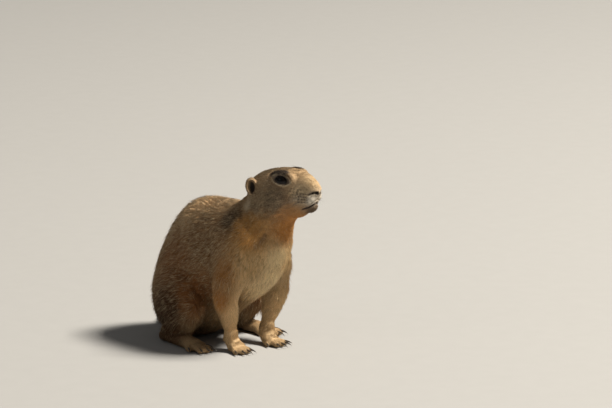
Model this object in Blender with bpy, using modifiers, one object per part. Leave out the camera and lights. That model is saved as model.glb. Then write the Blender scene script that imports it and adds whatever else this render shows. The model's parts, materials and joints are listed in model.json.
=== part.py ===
"""Prairie dog crouched on its haunches with its head raised: a still, life-size model in parted solids.

The animal faces -Y, its left is +X and it rests on the floor at z = 0. The flesh is modelled whole from
lofted masses that are fused and smoothed, and is then parted into head, neck, torso, rump, tail and limbs.
"""

import math

import bmesh
import bpy
from mathutils import Matrix, Vector
from mathutils.bvhtree import BVHTree

# Driving dimensions, in metres
GAP = 0.0003  # kept between nodes that touch
VOXEL = 0.0013  # of the fused flesh
BROAD_TRIANGLES, FINE_TRIANGLES = 2700, 3500  # left of the fused trunk, and of the face and feet
NOSE_TIP = Vector((0.0145, -0.1085, 0.1455))
HEAD_YAW = math.radians(9)  # towards the animal's left
HEAD_PITCH = math.radians(9)  # nose up
EYE_RADIUS = 0.0056
LID_THICKNESS = 0.0010
LID_SLANT = math.radians(8)  # the front corner of the lids lies lower
LID_SPREAD, LID_RISE, LID_DROP = 1.36, 0.68, 0.626  # half sizes of the lids' opening, for each unit out
MOUTH_RADIUS, MOUTH_DEPTH = 0.00065, 0.0013
NOSTRIL = (0.0020, 0.0030, -0.0026)  # behind, aside and above the nose tip
NOSTRIL_RADII = (0.0021, 0.0014, 0.0011)
LIP_GROOVE_LEVELS = (-0.0052, -0.0078, -0.0102)  # above the nose tip
LIP_GROOVE_RADII = (0.0003, 0.0007)
ELBOW = Vector((0.0300, -0.0410, 0.0460))
WRIST = Vector((0.0182, -0.0405, 0.0150))
PALM = Vector((0.0172, -0.0435, 0.0047))
RIGHT_PAW_SET = Vector((-0.0030, 0.0032, 0))  # the right forepaw stands this far out and back
HEEL = Vector((0.0370, 0.0270, 0.0060))
INSTEP = Vector((0.0395, -0.0040, 0.0048))
TAIL_ROOT = Vector((0.0, 0.050, 0.0125))
TAIL_LENGTH = 0.058
TAIL_TURN, TAIL_BEND = math.radians(18), math.radians(22)  # the tail lies curved to its left

LEFT, RIGHT = 1, -1
SIDES = (("left", LEFT), ("right", RIGHT))

# Head axes: forward, left and up, turned by the yaw and lifted by the pitch
HEAD_FORWARD = Vector(
    (
        math.sin(HEAD_YAW) * math.cos(HEAD_PITCH),
        -math.cos(HEAD_YAW) * math.cos(HEAD_PITCH),
        math.sin(HEAD_PITCH),
    )
)
HEAD_LEFT = Vector((math.cos(HEAD_YAW), math.sin(HEAD_YAW), 0))
HEAD_UP = HEAD_LEFT.cross(-HEAD_FORWARD)
HEAD_FRAME = Matrix((HEAD_LEFT, HEAD_FORWARD, HEAD_UP)).transposed()


def head_point(behind, aside, above):
    """A place on the head, by its distance behind the nose tip, to the left of it and above it."""
    return NOSE_TIP - behind * HEAD_FORWARD + aside * HEAD_LEFT + above * HEAD_UP


def mirrored(point, side):
    return Vector((point[0] * side, point[1], point[2]))


def foreleg_point(place, side):
    """A place on the lower foreleg, which is set a little out and back on the right."""
    return mirrored(place, side) + (RIGHT_PAW_SET if side == RIGHT else Vector())


# The trunk, rump to throat. Each row is a section: back (y, z), belly (y, z), half width, and the share
# of the way from belly to back at which it is widest.
TRUNK = (
    ((0.050, 0.010), (0.040, 0.001), 0.014, 0.5),
    ((0.058, 0.028), (0.030, -0.0004), 0.030, 0.5),
    ((0.060, 0.056), (0.012, 0.001), 0.039, 0.5),
    ((0.0515, 0.087), (-0.005, 0.010), 0.0392, 0.48),
    ((0.0362, 0.1115), (-0.022, 0.024), 0.0362, 0.47),
    ((0.0175, 0.1235), (-0.040, 0.038), 0.0370, 0.47),
    ((-0.006, 0.1262), (-0.060, 0.053), 0.036, 0.46),
    ((-0.020, 0.1260), (-0.0725, 0.073), 0.0345, 0.45),
    ((-0.030, 0.1275), (-0.0780, 0.087), 0.0315, 0.45),
    ((-0.0375, 0.1315), (-0.0765, 0.0975), 0.0262, 0.46),
)
# Neck sections run from inside the shoulders to inside the head: back, throat, half width.
NECK = (
    ((0.0, -0.004, 0.112), (0.0, -0.064, 0.068), 0.033),
    ((0.001, -0.022, 0.1225), (0.004, -0.0782, 0.087), 0.0305),
    ((0.003, -0.0355, 0.134), (0.007, -0.0785, 0.1065), 0.0240),
    ((0.006, -0.048, 0.146), (0.010, -0.0840, 0.1165), 0.0210),
)
# Head sections: distance behind the nose tip, half width, top and bottom above the nose tip, widest level
HEAD = (
    (0.0003, 0.0030, 0.0020, -0.0040, 0.5),
    (0.0030, 0.0060, 0.0062, -0.0085, 0.5),
    (0.0080, 0.0088, 0.0118, -0.0155, 0.45),
    (0.0150, 0.0116, 0.0158, -0.0205, 0.42),
    (0.0230, 0.0146, 0.0182, -0.0238, 0.42),
    (0.0310, 0.0180, 0.0194, -0.0235, 0.45),
    (0.0410, 0.0212, 0.0194, -0.0240, 0.45),
    (0.0510, 0.0218, 0.0182, -0.0225, 0.47),
    (0.0600, 0.0195, 0.0152, -0.0185, 0.5),
    (0.0665, 0.0148, 0.0120, -0.0120, 0.5),
    (0.0700, 0.0080, 0.0060, -0.0050, 0.5),
)
EYE = (0.0285, 0.0110, 0.0102)  # centre of an eyeball: behind, aside and above the nose tip
EYE_LOOK = (0.86, 0.33, 0.32)  # its outward direction: aside, forward and up
# The mouth line on one side, from the front to the corner: behind, aside and above the nose tip
MOUTH = (
    (0.0025, 0.0, -0.0100),
    (0.0036, 0.0035, -0.0108),
    (0.0062, 0.0062, -0.0128),
    (0.0095, 0.0082, -0.0152),
    (0.0122, 0.0094, -0.0172),
)
EAR = (0.0570, 0.0180, 0.0070)  # middle of an ear
EAR_RADII = (0.0042, 0.0054, 0.0078)  # outward, along the head and upright
EAR_FLARE = math.radians(32)  # the opening is turned forward by this
EAR_BOWL = (0.0027, 0.0006, -0.0003)  # its hollow's middle, out, forward and up from the ear's
EAR_BOWL_RADII = (0.0036, 0.0038, 0.0061)

# Digits of one paw: angle outward from straight ahead, length, radius, thumb or little toe set back by
FORE_DIGITS = (
    ("thumb", -34, 0.0072, 0.0018, 0.0025),
    ("second", -15, 0.0118, 0.0023, 0.0),
    ("third", -3, 0.0132, 0.0024, 0.0),
    ("fourth", 10, 0.0126, 0.0023, 0.0),
    ("fifth", 25, 0.0106, 0.0021, 0.0012),
)
HIND_DIGITS = (
    ("first", -26, 0.0125, 0.0023, 0.0045),
    ("second", -11, 0.0185, 0.0025, 0.0),
    ("third", 1, 0.0200, 0.0026, 0.0),
    ("fourth", 13, 0.0185, 0.0025, 0.0),
    ("fifth", 28, 0.0140, 0.0023, 0.0050),
)
FORE_CLAW, HIND_CLAW = 0.0058, 0.0052  # lengths
SET_BACK = 0.0061  # the finished animal moves back by this, so that it is centred over the origin
FORE_TURN, HIND_TURN = math.radians(4), math.radians(5)  # toes turned outward

# Where the flesh is parted
FOREPAW_HALF = Vector((0.0130, 0.0190, 0.0085))  # block round a forepaw
THIGH_CENTRE, THIGH_RADII = Vector((0.0370, 0.0095, 0.033)), Vector((0.0205, 0.0360, 0.0345))
TAIL_CENTRE, TAIL_HALF = Vector((0.004, 0.0545, 0.006)), Vector((0.034, 0.040, 0.0135))
NAPE, THROAT = Vector((0.004, -0.036, 0.135)), Vector((0.009, -0.084, 0.1135))
WITHERS, BREAST = Vector((0.0, -0.017, 0.126)), Vector((0.002, -0.080, 0.090))
LOIN, LOIN_NORMAL = Vector((0.0, 0.010, 0.070)), Vector((0, 0.94, -0.34))
# The solid that takes an arm off the trunk: place, half width, half depth, share of the paw's offset
ARM_REGION = (
    ((0.0240, -0.043, 0.108), 0.0080, 0.0110, 0),
    ((0.0250, -0.043, 0.104), 0.0130, 0.0190, 0),
    ((0.0265, -0.0425, 0.090), 0.0160, 0.0240, 0),
    ((0.0290, -0.0420, 0.070), 0.0155, 0.0240, 0),
    ((0.0310, -0.0415, 0.050), 0.0150, 0.0220, 0),
    ((0.0260, -0.0415, 0.030), 0.0160, 0.0210, 0.5),
    ((0.0200, -0.0420, 0.004), 0.0150, 0.0200, 1),
)
# Sections of a claw: share of its length, height in toe radii, half width and half depth in millimetres
CLAW_ROWS = ((0.25, 1.40, 0.9, 1.1), (0.7, 0.95, 0.6, 0.8))


def between(rows, steps):
    """Smooths rows of numbers with a Catmull-Rom curve, with this many steps from one row to the next."""
    ends = [rows[0], *rows, rows[-1]]
    smooth = []
    for a, b, c, d in zip(ends, ends[1:], ends[2:], ends[3:]):
        for step in range(steps):
            t = step / steps
            smooth.append(
                [
                    q + t / 2 * (r - p + t * (2 * p - 5 * q + 4 * r - s + t * (3 * (q - r) + s - p)))
                    for p, q, r, s in zip(a, b, c, d)
                ]
            )
    smooth.append(list(rows[-1]))
    return smooth


def made(name, shape):
    """A new object from a bmesh, in the scene's own collection."""
    mesh = bpy.data.meshes.new(name)
    shape.to_mesh(mesh)
    shape.free()
    body = bpy.data.objects.new(name, mesh)
    bpy.context.scene.collection.objects.link(body)
    return body


def loft(name, sections, across=None, around=28):
    """A closed tube through elliptical sections of unlike size. A section is the points at its back and
    its belly, its half width and its widest level; across is the sideways direction of them all."""
    shape = bmesh.new()
    rings = []
    middles = [(back + belly) / 2 for back, belly, _, _ in sections]
    for i, (back, belly, half_width, level) in enumerate(sections):
        along = middles[min(i + 1, len(middles) - 1)] - middles[max(i - 1, 0)]
        sideways = across or along.cross(back - belly).normalized()
        centre = belly.lerp(back, level)
        ring = []
        for k in range(around):
            turn = math.tau * k / around
            depth = back - centre if math.sin(turn) > 0 else centre - belly
            ring.append(
                shape.verts.new(centre + half_width * math.cos(turn) * sideways + math.sin(turn) * depth)
            )
        rings.append(ring)
    for lower, upper in zip(rings, rings[1:]):
        for k in range(around):
            following = (k + 1) % around
            shape.faces.new((lower[k], lower[following], upper[following], upper[k]))
    shape.faces.new(rings[0][::-1])
    shape.faces.new(rings[-1])
    bmesh.ops.recalc_face_normals(shape, faces=shape.faces)
    return made(name, shape)


def ball(name, centre, radii, turn=Matrix.Identity(3), segments=24):
    """An ellipsoid, turned by a rotation matrix."""
    shape = bmesh.new()
    place = Matrix.Translation(centre) @ turn.to_4x4() @ Matrix.Diagonal((*radii, 1))
    bmesh.ops.create_uvsphere(shape, u_segments=segments, v_segments=segments // 2, radius=1, matrix=place)
    bmesh.ops.recalc_face_normals(shape, faces=shape.faces)
    return made(name, shape)


def block(name, centre, half, turn=Matrix.Identity(3)):
    """A box, turned by a rotation matrix."""
    shape = bmesh.new()
    place = Matrix.Translation(centre) @ turn.to_4x4() @ Matrix.Diagonal((*(2 * h for h in half), 1))
    bmesh.ops.create_cube(shape, size=1, matrix=place)
    bmesh.ops.recalc_face_normals(shape, faces=shape.faces)
    return made(name, shape)


def limb(name, path, reference, around=20, steps=5):
    """A tube along a path of (point, half width, half depth), whose depth lies towards the reference."""
    rows = between([(*point, wide, deep) for point, wide, deep in path], steps)
    sections = []
    for i, (x, y, z, wide, deep) in enumerate(rows):
        ahead, behind = rows[min(i + 1, len(rows) - 1)], rows[max(i - 1, 0)]
        along = (Vector(ahead[:3]) - Vector(behind[:3])).normalized()
        depth = (reference - reference.project(along)).normalized() * deep
        middle = Vector((x, y, z))
        sections.append((middle + depth, middle - depth, wide, 0.5))
    return loft(name, sections, around=around)


def trunk_masses():
    """The trunk and neck, as one row of sections each."""
    rows = between([(*back, *belly, wide, level) for back, belly, wide, level in TRUNK], 5)
    trunk = [
        (Vector((0, row[0], row[1])), Vector((0, row[2], row[3])), row[4], row[5]) for row in rows
    ]
    rows = between([(*back, *throat, wide) for back, throat, wide in NECK], 5)
    neck = [(Vector(row[:3]), Vector(row[3:6]), row[6], 0.5) for row in rows]
    return [loft("trunk_mass", trunk, Vector((1, 0, 0)), 36), loft("neck_mass", neck, HEAD_LEFT, 32)]


def eye_centre(side):
    behind, aside, above = EYE
    return head_point(behind, side * aside, above)


def eye_frame(side):
    """Axes of an eye: outward, towards the nose and upright."""
    aside, forward, up = EYE_LOOK
    outward = (side * aside * HEAD_LEFT + forward * HEAD_FORWARD + up * HEAD_UP).normalized()
    upright = (HEAD_UP - HEAD_UP.project(outward)).normalized()
    return Matrix((outward, upright.cross(outward) * side, upright)).transposed()


def head_masses():
    """The skull's loft with brows, cheeks, whisker pads, nose, lids and chin set on it."""
    rows = between(HEAD, 4)
    skull = [
        (head_point(behind, 0, top), head_point(behind, 0, bottom), wide, level)
        for behind, wide, top, bottom, level in rows
    ]
    masses = [
        loft("skull_mass", skull, HEAD_LEFT, 32),
        ball("nose_mass", head_point(0.0048, 0, -0.0005), (0.0046, 0.0050, 0.0044), HEAD_FRAME),
        ball("chin_mass", head_point(0.0125, 0, -0.0150), (0.0062, 0.0074, 0.0052), HEAD_FRAME),
    ]
    for _, side in SIDES:
        masses += [
            ball("brow_mass", head_point(0.0310, side * 0.0098, 0.0108), (0.0064, 0.0140, 0.0074), HEAD_FRAME),
            ball("cheek_mass", head_point(0.0430, side * 0.0125, -0.0075), (0.0100, 0.0170, 0.0130), HEAD_FRAME),
            ball("pad_mass", head_point(0.0105, side * 0.0044, -0.0068), (0.0052, 0.0076, 0.0058), HEAD_FRAME),
            ball("lid_mass", eye_centre(side), [EYE_RADIUS + LID_THICKNESS] * 3),
        ]
    return masses


def paw_frame(side, turn):
    """Directions of a paw on the floor: ahead along the toes and outward across them."""
    ahead = Vector((side * math.sin(turn), -math.cos(turn), 0))
    return ahead, Vector((side * math.cos(turn), math.sin(turn), 0))


def digit_path(knuckle, ahead, outward, digit):
    """Three points of one digit: its root in the paw, its arched middle and its tip."""
    _, degrees, length, radius, back = digit
    angle = math.radians(degrees)
    direction = math.cos(angle) * ahead + math.sin(angle) * outward
    root = knuckle - back * ahead + math.sin(angle) * 0.010 * outward
    root.z = 0.0036
    middle = root + direction * length * 0.55
    middle.z = radius + 0.0008
    tip = root + direction * length
    tip.z = radius - 0.0005
    return root, middle, tip


def digit_masses(knuckle, ahead, outward, digits):
    masses = []
    for digit in digits:
        root, middle, tip = digit_path(knuckle, ahead, outward, digit)
        radius = digit[3]
        path = (
            (root, radius * 1.05, radius * 1.1),
            (middle, radius * 1.05, radius * 1.1),
            (tip - (tip - middle).normalized() * radius * 0.6, radius, radius),
        )
        masses.append(limb("digit_mass", path, Vector((0, 0, 1)), around=12, steps=4))
        masses.append(
            ball("fingertip_mass", tip - (tip - middle).normalized() * radius, [radius] * 3, segments=12)
        )
    return masses


def foreleg_masses(side):
    """Shoulder, upper arm, forearm and paw, with five digits."""
    elbow, wrist, palm = mirrored(ELBOW, side), foreleg_point(WRIST, side), foreleg_point(PALM, side)
    ahead, outward = paw_frame(side, FORE_TURN)
    arm = (
        (mirrored((0.0225, -0.044, 0.092), side), 0.0130, 0.0190),
        (mirrored((0.0255, -0.044, 0.074), side), 0.0130, 0.0185),
        (mirrored((0.0285, -0.0415, 0.058), side), 0.0115, 0.0155),
        (elbow, 0.0108, 0.0130),
        (elbow.lerp(wrist, 0.5), 0.0094, 0.0108),
        (wrist.lerp(elbow, 0.12), 0.0070, 0.0072),
        (wrist + Vector((0, -0.001, -0.005)), 0.0066, 0.0062),
    )
    hand = (
        (wrist + Vector((0, 0.002, -0.001)), 0.0066, 0.0062),
        (wrist.lerp(palm, 0.6), 0.0070, 0.0058),
        (palm + ahead * 0.002, 0.0076, 0.0052),
        (palm + ahead * 0.0065, 0.0074, 0.0044),
    )
    return [
        ball("shoulder_mass", mirrored((0.0215, -0.040, 0.084), side), (0.0160, 0.0225, 0.0310)),
        limb("arm_mass", arm, Vector((0, 1, 0))),
        limb("hand_mass", hand, Vector((0, 0.3, 1))),
        *digit_masses(palm + ahead * 0.005, ahead, outward, FORE_DIGITS),
    ]


def hind_leg_masses(side):
    """Thigh, knee, shank and the long hind foot, with five digits."""
    heel, instep = mirrored(HEEL, side), mirrored(INSTEP, side)
    ahead, outward = paw_frame(side, HIND_TURN)
    shank = (
        (mirrored((0.0400, -0.010, 0.030), side), 0.0090, 0.0120),
        (mirrored((0.0410, 0.006, 0.021), side), 0.0080, 0.0105),
        (heel + Vector((0, -0.002, 0.004)), 0.0062, 0.0070),
    )
    foot = (
        (heel + Vector((0, 0.003, 0)), 0.0052, 0.0056),
        (heel + ahead * 0.010, 0.0062, 0.0060),
        (instep, 0.0072, 0.0056),
        (instep + ahead * 0.006, 0.0078, 0.0050),
        (instep + ahead * 0.011, 0.0076, 0.0044),
    )
    return [
        ball("thigh_mass", mirrored((0.0320, 0.013, 0.036), side), (0.0150, 0.0290, 0.0300)),
        ball("knee_mass", mirrored((0.0385, -0.006, 0.034), side), (0.0100, 0.0140, 0.0150)),
        limb("shank_mass", shank, Vector((0, 0, 1))),
        limb("foot_mass", foot, Vector((0, 0, 1))),
        *digit_masses(instep + ahead * 0.009, ahead, outward, HIND_DIGITS),
    ]


def tail_path():
    """Points along the tail on the floor, with its half width and half depth at each."""
    rows = ((0.0, 0.0080, 0.0075), (0.18, 0.0085, 0.0072), (0.45, 0.0086, 0.0062), (0.75, 0.0075, 0.0050))
    path = []
    for share, wide, deep in (*rows, (0.93, 0.0050, 0.0036), (1.0, 0.0022, 0.0020)):
        bend = TAIL_TURN + TAIL_BEND * share
        place = TAIL_ROOT + share * TAIL_LENGTH * Vector((math.sin(bend), math.cos(bend), 0))
        place.z = max(deep - 0.0004, TAIL_ROOT.z * (1 - share * 3))
        path.append((place, wide, deep))
    return path


def evaluated(body):
    """Applies the modifiers of a body to its mesh."""
    graph = bpy.context.evaluated_depsgraph_get()
    mesh = bpy.data.meshes.new_from_object(body.evaluated_get(graph))
    body.modifiers.clear()
    plain = body.data
    body.data = mesh
    bpy.data.meshes.remove(plain)


def fineness(point):
    """How fine the form is at a place: 1 on the paws and the face, 0 on the trunk."""
    face = (point - head_point(0.020, 0, 0)).length
    feet = point.z - 0.011
    return min(1, max(0, (0.044 - face) / 0.020, -feet / 0.004))


def thinned(body, chosen, triangles):
    """Thins out the chosen vertices of a body until about this many triangles are left among them."""
    inside = kept = 0
    for face in body.data.polygons:
        if all(corner in chosen for corner in face.vertices):
            inside += len(face.vertices) - 2
        else:
            kept += len(face.vertices) - 2
    picked = body.vertex_groups.new(name="picked")
    picked.add(sorted(chosen), 1, "REPLACE")
    thin = body.modifiers.new("thin", "DECIMATE")
    thin.ratio = (kept + triangles) / (kept + inside)
    thin.vertex_group = "picked"
    evaluated(body)
    body.vertex_groups.clear()


def whole_form(masses):
    """Fuses the masses into one skin, smooths it, less on the face and the feet, and thins it out."""
    for mass in masses:
        mass.select_set(True)
    bpy.context.view_layer.objects.active = masses[0]
    bpy.ops.object.join()
    flesh = bpy.context.view_layer.objects.active
    flesh.name = "flesh"
    remesh = flesh.modifiers.new("fuse", "REMESH")
    remesh.mode = "VOXEL"
    remesh.voxel_size = VOXEL
    evaluated(flesh)
    fine = flesh.vertex_groups.new(name="fine")
    broad = flesh.vertex_groups.new(name="broad")
    for vertex in flesh.data.vertices:
        share = fineness(vertex.co)
        fine.add([vertex.index], share, "REPLACE")
        broad.add([vertex.index], 1 - share, "REPLACE")
    for name, group, factor, times in (("even", None, 0.5, 3), ("flow", "broad", 0.5, 26)):
        smooth = flesh.modifiers.new(name, "SMOOTH")
        smooth.factor = factor
        smooth.iterations = times
        if group:
            smooth.vertex_group = group
    evaluated(flesh)
    flesh.vertex_groups.clear()
    thinned(flesh, {v.index for v in flesh.data.vertices if fineness(v.co) < 0.5}, BROAD_TRIANGLES)
    thinned(flesh, {v.index for v in flesh.data.vertices if fineness(v.co) > 0.2}, FINE_TRIANGLES)
    return flesh


def clear_scene():
    for item in list(bpy.data.objects):
        bpy.data.objects.remove(item)


def kept_largest(body):
    """Leaves only the largest closed surface of a body, with no double points."""
    for merge in (0.00006, 0.00002, 0):
        shape = bmesh.new()
        shape.from_mesh(body.data)
        bmesh.ops.remove_doubles(shape, verts=shape.verts, dist=merge)
        bmesh.ops.dissolve_degenerate(shape, edges=shape.edges, dist=merge / 2)
        bmesh.ops.triangulate(shape, faces=[face for face in shape.faces if len(face.verts) > 3])
        if all(len(edge.link_faces) == 2 for edge in shape.edges):
            break
    islands, seen = [], set()
    for start in shape.faces:
        if start in seen:
            continue
        island, waiting = [], [start]
        seen.add(start)
        while waiting:
            face = waiting.pop()
            island.append(face)
            for edge in face.edges:
                for other in edge.link_faces:
                    if other not in seen:
                        seen.add(other)
                        waiting.append(other)
        islands.append(island)
    islands.sort(key=lambda faces: sum(face.calc_area() for face in faces))
    for island in islands[:-1]:
        bmesh.ops.delete(shape, geom=island, context="FACES")
    shape.to_mesh(body.data)
    shape.free()


def carved(body, cutter, operation="DIFFERENCE"):
    """Applies one Boolean to a body, with the second solver if the first leaves nothing of it."""
    uncut = body.data.copy()
    for solver in ("EXACT", "MANIFOLD"):
        body.data = uncut.copy()
        boolean = body.modifiers.new(operation.lower(), "BOOLEAN")
        boolean.operation = operation
        boolean.object = cutter
        boolean.solver = solver
        evaluated(body)
        if body.data.polygons:
            break
    kept_largest(body)


def twin(body, name):
    """A copy of a body with its own mesh."""
    copy = body.copy()
    copy.data = body.data.copy()
    copy.name = copy.data.name = name
    bpy.context.scene.collection.objects.link(copy)
    return copy


def grown(body, name, amount=GAP):
    """A copy of a body, swollen along its normals."""
    copy = twin(body, name)
    normals = [vertex.normal.copy() for vertex in copy.data.vertices]
    for vertex, normal in zip(copy.data.vertices, normals):
        vertex.co += amount * normal
    return copy


def parted(whole, name, region, wider):
    """Takes the piece of a body inside a region off it. The wider region leaves the gap beside it."""
    piece = twin(whole, name)
    carved(piece, region, "INTERSECT")
    carved(whole, wider)
    return piece


def beyond(name, point, normal, reach=0.15):
    """A large block whose near face goes through a point, square to a normal."""
    normal = Vector(normal).normalized()
    turn = normal.to_track_quat("Z", "Y").to_matrix()
    return block(name, Vector(point) + reach * normal, (reach, reach, reach), turn)


def split(whole, name, point, normal):
    """Takes off what lies beyond a plane, with the gap left on the far side of it."""
    normal = Vector(normal).normalized()
    region = beyond(name + "_region", Vector(point) + GAP * normal, normal)
    return parted(whole, name, region, beyond(name + "_limit", point, normal))


clear_scene()
masses = trunk_masses() + head_masses()
for _, side in SIDES:
    masses += foreleg_masses(side) + hind_leg_masses(side)
masses.append(limb("tail_mass", tail_path(), Vector((0, 0, 1))))
flesh = whole_form(masses)
carved(flesh, block("floor_cutter", Vector((0, 0, -0.05)), (0.3, 0.3, 0.05)))

# Paws, then arms split at the elbow
nodes = {}
for label, side in SIDES:
    palm = foreleg_point(PALM, side)
    ahead, outward = paw_frame(side, FORE_TURN)
    turn = Matrix((outward, ahead, outward.cross(ahead))).transposed()
    centre = palm + 0.006 * ahead - Vector((0, 0, 0.0022))
    paw = f"forepaw_{label}"
    nodes[paw] = parted(
        flesh,
        paw,
        block(paw + "_region", centre, FOREPAW_HALF, turn),
        block(paw + "_limit", centre, FOREPAW_HALF + Vector((GAP, GAP, GAP)), turn),
    )
    regions = []
    for extra, ending in ((0, "region"), (GAP, "limit")):
        path = [
            (mirrored(place, side) + share * (palm - mirrored(PALM, side)), wide + extra, deep + extra)
            for place, wide, deep, share in ARM_REGION
        ]
        for end, rise in ((0, extra), (-1, -extra)):
            place, wide, deep = path[end]
            path[end] = (place + Vector((0, 0, rise)), wide, deep)
        regions.append(limb(f"arm_{label}_{ending}", path, Vector((0, 1, 0)), around=16, steps=2))
    arm = f"upper_arm_{label}"
    nodes[arm] = parted(flesh, arm, *regions)
    forearm = f"forearm_{label}"
    below = foreleg_point(WRIST, side) - mirrored(ELBOW, side)
    nodes[forearm] = split(nodes[arm], forearm, mirrored(ELBOW + Vector((0, 0, -0.001)), side), below)

# Hind feet, then thighs
for label, side in SIDES:
    ahead, outward = paw_frame(side, HIND_TURN)
    instep, heel = mirrored(INSTEP, side), mirrored(HEEL, side)
    floor = Vector((0, 0, -0.012))
    regions = []
    for extra, ending in ((0, "region"), (GAP, "limit")):
        path = (
            (heel + floor - ahead * (0.0095 + extra), 0.0080 + extra, 0.0150 + extra),
            (heel + floor - ahead * 0.0060, 0.0110 + extra, 0.0170 + extra),
            (instep + floor - ahead * 0.0060, 0.0130 + extra, 0.0185 + extra),
            (instep + floor + ahead * 0.0120, 0.0165 + extra, 0.0195 + extra),
            (instep + floor + ahead * (0.0340 + extra), 0.0190 + extra, 0.0195 + extra),
        )
        regions.append(limb(f"hind_foot_{label}_{ending}", path, Vector((0, 0, 1)), around=16, steps=2))
    foot = f"hind_foot_{label}"
    nodes[foot] = parted(flesh, foot, *regions)
    centre = mirrored(THIGH_CENTRE, side)
    thigh = f"thigh_{label}"
    nodes[thigh] = parted(
        flesh,
        thigh,
        ball(thigh + "_region", centre, THIGH_RADII, segments=20),
        ball(thigh + "_limit", centre, THIGH_RADII + Vector((GAP, GAP, GAP)), segments=20),
    )

# Tail, head, neck and rump; the torso is what is left
turn = Matrix.Rotation(-TAIL_TURN * 0.6, 3, "Z")
centre = TAIL_CENTRE + turn @ Vector((0.004, 0.040, 0))
nodes["tail"] = parted(
    flesh,
    "tail",
    block("tail_region", centre, TAIL_HALF, turn),
    block("tail_limit", centre, TAIL_HALF + Vector((GAP, GAP, GAP)), turn),
)
nodes["head"] = split(flesh, "head", NAPE.lerp(THROAT, 0.5), (THROAT - NAPE).cross(HEAD_LEFT))
nodes["neck"] = split(flesh, "neck", WITHERS.lerp(BREAST, 0.5), (BREAST - WITHERS).cross(Vector((1, 0, 0))))
nodes["rump"] = split(flesh, "rump", LOIN, LOIN_NORMAL)
flesh.name = flesh.data.name = "torso"
nodes["torso"] = flesh

# Eyes, with sockets and openings in the lids
head = nodes["head"]
for label, side in SIDES:
    frame, centre = eye_frame(side), eye_centre(side)
    eye = f"eye_{label}"
    nodes[eye] = ball(eye, centre, [EYE_RADIUS] * 3, segments=20)
    outward, forward, upright = (axis.copy() for axis in frame.col)
    sections = []
    for reach in (0.0008, 0.0090):
        middle = centre + reach * outward
        rise = reach * (math.cos(LID_SLANT) * upright + math.sin(LID_SLANT) * forward)
        level = LID_DROP / (LID_RISE + LID_DROP)
        sections.append((middle + LID_RISE * rise, middle - LID_DROP * rise, LID_SPREAD * reach, level))
    slanted = math.cos(LID_SLANT) * forward - math.sin(LID_SLANT) * upright
    carved(head, loft(eye + "_opening", sections, slanted, 24))
    carved(head, ball(eye + "_socket", centre, [EYE_RADIUS + GAP] * 3, segments=20))

# Mouth line laid on the surface, with the groove up to the nose, and nostrils
surface = BVHTree.FromObject(head, bpy.context.evaluated_depsgraph_get())
line = [head_point(behind, -aside, above) for behind, aside, above in MOUTH[:0:-1]]
line += [head_point(*place) for place in MOUTH]
line = [surface.find_nearest(point)[0] for point in line]
widths = [0.3, 0.7, *[1] * (len(line) - 4), 0.7, 0.3]
path = [(point, MOUTH_DEPTH * share, MOUTH_RADIUS * (0.5 + share / 2)) for point, share in zip(line, widths)]
carved(head, limb("mouth_cutter", path, HEAD_UP, around=8, steps=2))
path = [
    (surface.find_nearest(head_point(0.0005, 0, above))[0], *LIP_GROOVE_RADII)
    for above in LIP_GROOVE_LEVELS
]
carved(head, limb("lip_groove_cutter", path, HEAD_FORWARD, around=8, steps=2))
for label, side in SIDES:
    aim = (HEAD_FORWARD + 0.9 * side * HEAD_LEFT).to_track_quat("Y", "Z").to_matrix()
    behind, aside, above = NOSTRIL
    place = surface.find_nearest(head_point(behind, side * aside, above))[0]
    carved(head, ball(f"nostril_{label}_cutter", place, NOSTRIL_RADII, aim, 12))

# Ears, each an open cup set in a hollow of the head
for label, side in SIDES:
    ear = f"ear_{label}"
    outward = (math.cos(EAR_FLARE) * side * HEAD_LEFT + math.sin(EAR_FLARE) * HEAD_FORWARD).normalized()
    frame = Matrix((outward, HEAD_UP.cross(outward), HEAD_UP)).transposed()
    behind, aside, above = EAR
    centre = head_point(behind, side * aside, above)
    radii = Vector(EAR_RADII)
    nodes[ear] = ball(ear, centre, radii, frame, 16)
    carved(head, ball(ear + "_hollow", centre, radii + Vector((GAP, GAP, GAP)), frame, 16))
    bowl = centre + EAR_BOWL[0] * outward + EAR_BOWL[1] * HEAD_FORWARD + EAR_BOWL[2] * HEAD_UP
    carved(nodes[ear], ball(ear + "_bowl", bowl, EAR_BOWL_RADII, frame, 16))

# Claws, one to a digit, stopping short of it
for label, side in SIDES:
    for foot, knuckle, turn, digits, length in (
        ("forepaw", foreleg_point(PALM, side), FORE_TURN, FORE_DIGITS, FORE_CLAW),
        ("hind_foot", mirrored(INSTEP, side), HIND_TURN, HIND_DIGITS, HIND_CLAW),
    ):
        ahead, outward = paw_frame(side, turn)
        knuckle = knuckle + ahead * (0.005 if foot == "forepaw" else 0.009)
        flesh_limit = grown(nodes[f"{foot}_{label}"], f"{foot}_{label}_swollen")
        for digit in digits:
            _, middle, tip = digit_path(knuckle, ahead, outward, digit)
            direction = (tip - middle) * Vector((1, 1, 0))
            direction.normalize()
            radius = digit[3]
            reach = length * (0.62 if digit[2] < 0.0085 else 1)
            rows = [(-1.1 * radius, 1.15, 0.95, 1.0)]
            rows += [(share * reach, *rest) for share, *rest in CLAW_ROWS]
            path = [
                (tip + direction * along + Vector((0, 0, up * radius - tip.z)), wide / 1000, deep / 1000)
                for along, up, wide, deep in rows
            ]
            path.append((tip + direction * reach + Vector((0, 0, 0.0007 - tip.z)), 0.00025, 0.0003))
            claw = f"claw_{foot}_{digit[0]}_{label}"
            nodes[claw] = limb(claw, path, Vector((0, 0, 1)), around=7, steps=1)
            carved(nodes[claw], flesh_limit)

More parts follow.
